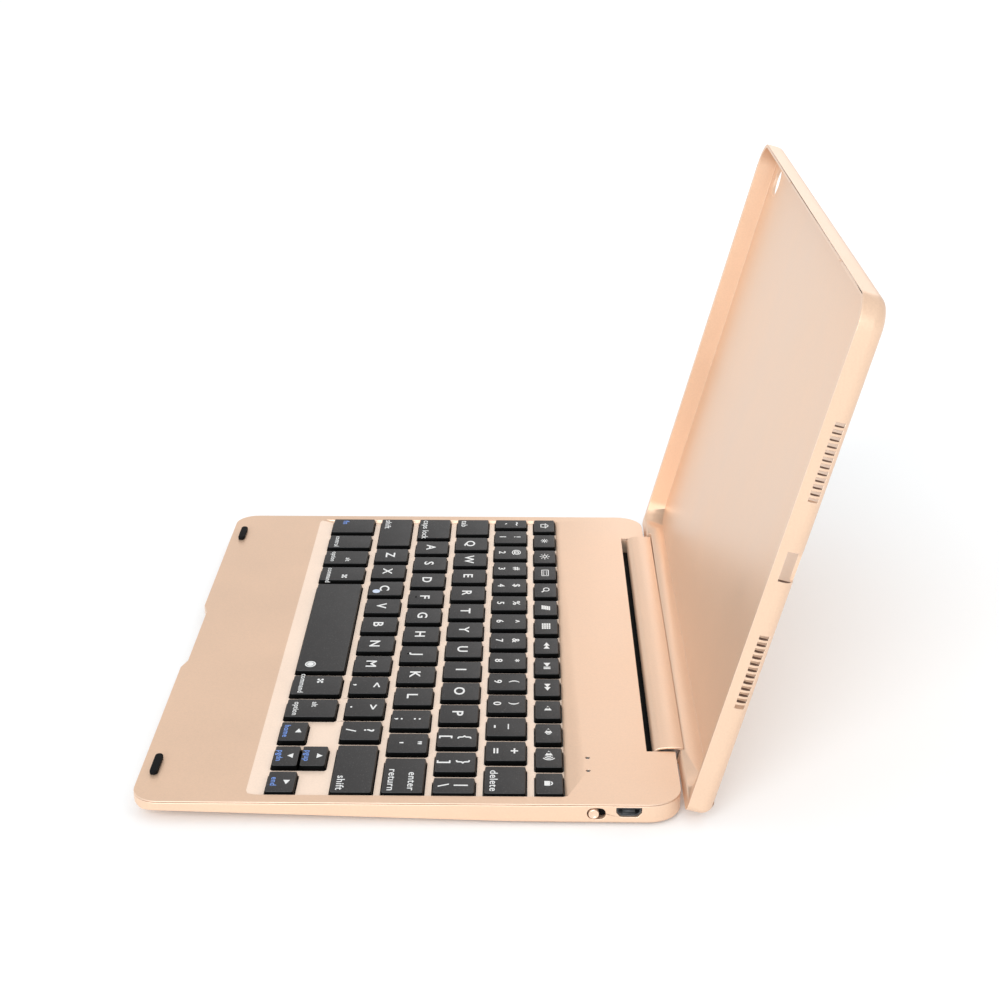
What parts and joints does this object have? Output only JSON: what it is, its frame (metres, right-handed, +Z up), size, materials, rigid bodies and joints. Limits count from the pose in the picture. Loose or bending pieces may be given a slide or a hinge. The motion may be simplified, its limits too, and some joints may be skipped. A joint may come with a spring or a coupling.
{
  "type": "tablet keyboard case",
  "caption": "Hinged clamshell case for a 9.7 inch tablet: flat keyboard base with black keys and an open tray lid on a barrel hinge.",
  "frame": {"origin": "centre of the open case's box, on the table plane under the rubber feet", "axes": "+X to the typist's right, +Y from the palm rest to the hinge, +Z up"},
  "size_m": [0.2455, 0.232, 0.1755],
  "materials": {
    "gold_shell": "satin rose-gold, fine grain",
    "black_keys": "matte black caps",
    "rubber_pads": "black rubber",
    "steel": "plain steel",
    "circuit_board": "green solder mask",
    "battery_foil": "silver pouch foil",
    "light_guides": "clear light guide",
    "membrane_film": "printed polyester film",
    "switch_knob": "gloss rose-gold knob"
  },
  "bodies": {
    "base": {"deck_top_cover": "gold_shell", "base_bottom_cover": "gold_shell", "palm_bumper_left": "rubber_pads", "palm_bumper_right": "rubber_pads", "rubber_foot_front": "rubber_pads", "rubber_foot_rear": "rubber_pads", "main_circuit_board": "circuit_board", "battery_pack": "battery_foil", "usb_charging_socket": "steel", "status_light_guides": "light_guides", "key_support_plate": "steel", "key_membrane_sheet": "membrane_film", "hinge_pin_left": "steel", "hinge_pin_right": "steel"},
    "lid": {"lid_shell": "gold_shell", "hinge_barrel_cover": "gold_shell", "friction_hinge_left": "steel", "friction_hinge_right": "steel"},
    "power_switch": {"power_switch_knob": "switch_knob"},
    "key_q_cap": {"key_q": "black_keys"},
    "key_w_cap": {"key_w": "black_keys"},
    "key_e_cap": {"key_e": "black_keys"},
    "key_r_cap": {"key_r": "black_keys"},
    "key_t_cap": {"key_t": "black_keys"},
    "key_y_cap": {"key_y": "black_keys"},
    "key_u_cap": {"key_u": "black_keys"},
    "key_i_cap": {"key_i": "black_keys"},
    "key_o_cap": {"key_o": "black_keys"},
    "key_p_cap": {"key_p": "black_keys"},
    "key_a_cap": {"key_a": "black_keys"},
    "key_s_cap": {"key_s": "black_keys"},
    "key_d_cap": {"key_d": "black_keys"},
    "key_f_cap": {"key_f": "black_keys"},
    "key_g_cap": {"key_g": "black_keys"},
    "key_h_cap": {"key_h": "black_keys"},
    "key_j_cap": {"key_j": "black_keys"},
    "key_k_cap": {"key_k": "black_keys"},
    "key_l_cap": {"key_l": "black_keys"},
    "key_z_cap": {"key_z": "black_keys"},
    "key_x_cap": {"key_x": "black_keys"},
    "key_c_cap": {"key_c": "black_keys"},
    "key_v_cap": {"key_v": "black_keys"},
    "key_b_cap": {"key_b": "black_keys"},
    "key_n_cap": {"key_n": "black_keys"},
    "key_m_cap": {"key_m": "black_keys"},
    "key_tab_cap": {"key_tab": "black_keys"},
    "key_caps_lock_cap": {"key_caps_lock": "black_keys"},
    "key_return_cap": {"key_return": "black_keys"},
    "key_left_shift_cap": {"key_left_shift": "black_keys"},
    "key_right_shift_cap": {"key_right_shift": "black_keys"},
    "key_space_bar_cap": {"key_space_bar": "black_keys"},
    "key_arrow_left_cap": {"key_arrow_left": "black_keys"},
    "key_arrow_down_cap": {"key_arrow_down": "black_keys"},
    "key_arrow_up_cap": {"key_arrow_up": "black_keys"},
    "key_arrow_right_cap": {"key_arrow_right": "black_keys"},
    "function_key_row_caps": {"function_key_row": "black_keys"},
    "number_key_row_caps": {"number_key_row": "black_keys"},
    "left_modifier_keys_caps": {"left_modifier_keys": "black_keys"},
    "right_modifier_keys_caps": {"right_modifier_keys": "black_keys"},
    "sign_key_block_caps": {"sign_key_block": "black_keys"}
  },
  "joints": [
    {"name": "case_hinge", "type": "hinge", "parent": "base", "child": "lid", "pos_m": [0, 0.0594, 0.006], "axis": [-1, 0, 0], "range_deg": [-105, 15]},
    {"name": "power_switch_slide", "type": "slide", "parent": "base", "child": "power_switch", "axis": [0, 1, 0], "range_m": [0, 0.0018]},
    {"name": "key_q_press", "type": "slide", "parent": "base", "child": "key_q_cap", "axis": [0, 0, -1], "range_m": [0, 0.0012], "stiffness_N_per_m": 400},
    {"name": "key_w_press", "type": "slide", "parent": "base", "child": "key_w_cap", "axis": [0, 0, -1], "range_m": [0, 0.0012], "stiffness_N_per_m": 400},
    {"name": "key_e_press", "type": "slide", "parent": "base", "child": "key_e_cap", "axis": [0, 0, -1], "range_m": [0, 0.0012], "stiffness_N_per_m": 400},
    {"name": "key_r_press", "type": "slide", "parent": "base", "child": "key_r_cap", "axis": [0, 0, -1], "range_m": [0, 0.0012], "stiffness_N_per_m": 400},
    {"name": "key_t_press", "type": "slide", "parent": "base", "child": "key_t_cap", "axis": [0, 0, -1], "range_m": [0, 0.0012], "stiffness_N_per_m": 400},
    {"name": "key_y_press", "type": "slide", "parent": "base", "child": "key_y_cap", "axis": [0, 0, -1], "range_m": [0, 0.0012], "stiffness_N_per_m": 400},
    {"name": "key_u_press", "type": "slide", "parent": "base", "child": "key_u_cap", "axis": [0, 0, -1], "range_m": [0, 0.0012], "stiffness_N_per_m": 400},
    {"name": "key_i_press", "type": "slide", "parent": "base", "child": "key_i_cap", "axis": [0, 0, -1], "range_m": [0, 0.0012], "stiffness_N_per_m": 400},
    {"name": "key_o_press", "type": "slide", "parent": "base", "child": "key_o_cap", "axis": [0, 0, -1], "range_m": [0, 0.0012], "stiffness_N_per_m": 400},
    {"name": "key_p_press", "type": "slide", "parent": "base", "child": "key_p_cap", "axis": [0, 0, -1], "range_m": [0, 0.0012], "stiffness_N_per_m": 400},
    {"name": "key_a_press", "type": "slide", "parent": "base", "child": "key_a_cap", "axis": [0, 0, -1], "range_m": [0, 0.0012], "stiffness_N_per_m": 400},
    {"name": "key_s_press", "type": "slide", "parent": "base", "child": "key_s_cap", "axis": [0, 0, -1], "range_m": [0, 0.0012], "stiffness_N_per_m": 400},
    {"name": "key_d_press", "type": "slide", "parent": "base", "child": "key_d_cap", "axis": [0, 0, -1], "range_m": [0, 0.0012], "stiffness_N_per_m": 400},
    {"name": "key_f_press", "type": "slide", "parent": "base", "child": "key_f_cap", "axis": [0, 0, -1], "range_m": [0, 0.0012], "stiffness_N_per_m": 400},
    {"name": "key_g_press", "type": "slide", "parent": "base", "child": "key_g_cap", "axis": [0, 0, -1], "range_m": [0, 0.0012], "stiffness_N_per_m": 400},
    {"name": "key_h_press", "type": "slide", "parent": "base", "child": "key_h_cap", "axis": [0, 0, -1], "range_m": [0, 0.0012], "stiffness_N_per_m": 400},
    {"name": "key_j_press", "type": "slide", "parent": "base", "child": "key_j_cap", "axis": [0, 0, -1], "range_m": [0, 0.0012], "stiffness_N_per_m": 400},
    {"name": "key_k_press", "type": "slide", "parent": "base", "child": "key_k_cap", "axis": [0, 0, -1], "range_m": [0, 0.0012], "stiffness_N_per_m": 400},
    {"name": "key_l_press", "type": "slide", "parent": "base", "child": "key_l_cap", "axis": [0, 0, -1], "range_m": [0, 0.0012], "stiffness_N_per_m": 400},
    {"name": "key_z_press", "type": "slide", "parent": "base", "child": "key_z_cap", "axis": [0, 0, -1], "range_m": [0, 0.0012], "stiffness_N_per_m": 400},
    {"name": "key_x_press", "type": "slide", "parent": "base", "child": "key_x_cap", "axis": [0, 0, -1], "range_m": [0, 0.0012], "stiffness_N_per_m": 400},
    {"name": "key_c_press", "type": "slide", "parent": "base", "child": "key_c_cap", "axis": [0, 0, -1], "range_m": [0, 0.0012], "stiffness_N_per_m": 400},
    {"name": "key_v_press", "type": "slide", "parent": "base", "child": "key_v_cap", "axis": [0, 0, -1], "range_m": [0, 0.0012], "stiffness_N_per_m": 400},
    {"name": "key_b_press", "type": "slide", "parent": "base", "child": "key_b_cap", "axis": [0, 0, -1], "range_m": [0, 0.0012], "stiffness_N_per_m": 400},
    {"name": "key_n_press", "type": "slide", "parent": "base", "child": "key_n_cap", "axis": [0, 0, -1], "range_m": [0, 0.0012], "stiffness_N_per_m": 400},
    {"name": "key_m_press", "type": "slide", "parent": "base", "child": "key_m_cap", "axis": [0, 0, -1], "range_m": [0, 0.0012], "stiffness_N_per_m": 400},
    {"name": "key_tab_press", "type": "slide", "parent": "base", "child": "key_tab_cap", "axis": [0, 0, -1], "range_m": [0, 0.0012], "stiffness_N_per_m": 400},
    {"name": "key_caps_lock_press", "type": "slide", "parent": "base", "child": "key_caps_lock_cap", "axis": [0, 0, -1], "range_m": [0, 0.0012], "stiffness_N_per_m": 400},
    {"name": "key_return_press", "type": "slide", "parent": "base", "child": "key_return_cap", "axis": [0, 0, -1], "range_m": [0, 0.0012], "stiffness_N_per_m": 400},
    {"name": "key_left_shift_press", "type": "slide", "parent": "base", "child": "key_left_shift_cap", "axis": [0, 0, -1], "range_m": [0, 0.0012], "stiffness_N_per_m": 400},
    {"name": "key_right_shift_press", "type": "slide", "parent": "base", "child": "key_right_shift_cap", "axis": [0, 0, -1], "range_m": [0, 0.0012], "stiffness_N_per_m": 400},
    {"name": "key_space_bar_press", "type": "slide", "parent": "base", "child": "key_space_bar_cap", "axis": [0, 0, -1], "range_m": [0, 0.0012], "stiffness_N_per_m": 800},
    {"name": "key_arrow_left_press", "type": "slide", "parent": "base", "child": "key_arrow_left_cap", "axis": [0, 0, -1], "range_m": [0, 0.0012], "stiffness_N_per_m": 400},
    {"name": "key_arrow_down_press", "type": "slide", "parent": "base", "child": "key_arrow_down_cap", "axis": [0, 0, -1], "range_m": [0, 0.0012], "stiffness_N_per_m": 400},
    {"name": "key_arrow_up_press", "type": "slide", "parent": "base", "child": "key_arrow_up_cap", "axis": [0, 0, -1], "range_m": [0, 0.0012], "stiffness_N_per_m": 400},
    {"name": "key_arrow_right_press", "type": "slide", "parent": "base", "child": "key_arrow_right_cap", "axis": [0, 0, -1], "range_m": [0, 0.0012], "stiffness_N_per_m": 400},
    {"name": "function_key_row_press", "type": "slide", "parent": "base", "child": "function_key_row_caps", "axis": [0, 0, -1], "range_m": [0, 0.0012], "stiffness_N_per_m": 5600},
    {"name": "number_key_row_press", "type": "slide", "parent": "base", "child": "number_key_row_caps", "axis": [0, 0, -1], "range_m": [0, 0.0012], "stiffness_N_per_m": 5600},
    {"name": "left_modifier_keys_press", "type": "slide", "parent": "base", "child": "left_modifier_keys_caps", "axis": [0, 0, -1], "range_m": [0, 0.0012], "stiffness_N_per_m": 1600},
    {"name": "right_modifier_keys_press", "type": "slide", "parent": "base", "child": "right_modifier_keys_caps", "axis": [0, 0, -1], "range_m": [0, 0.0012], "stiffness_N_per_m": 800},
    {"name": "sign_key_block_press", "type": "slide", "parent": "base", "child": "sign_key_block_caps", "axis": [0, 0, -1], "range_m": [0, 0.0012], "stiffness_N_per_m": 3200}
  ]
}
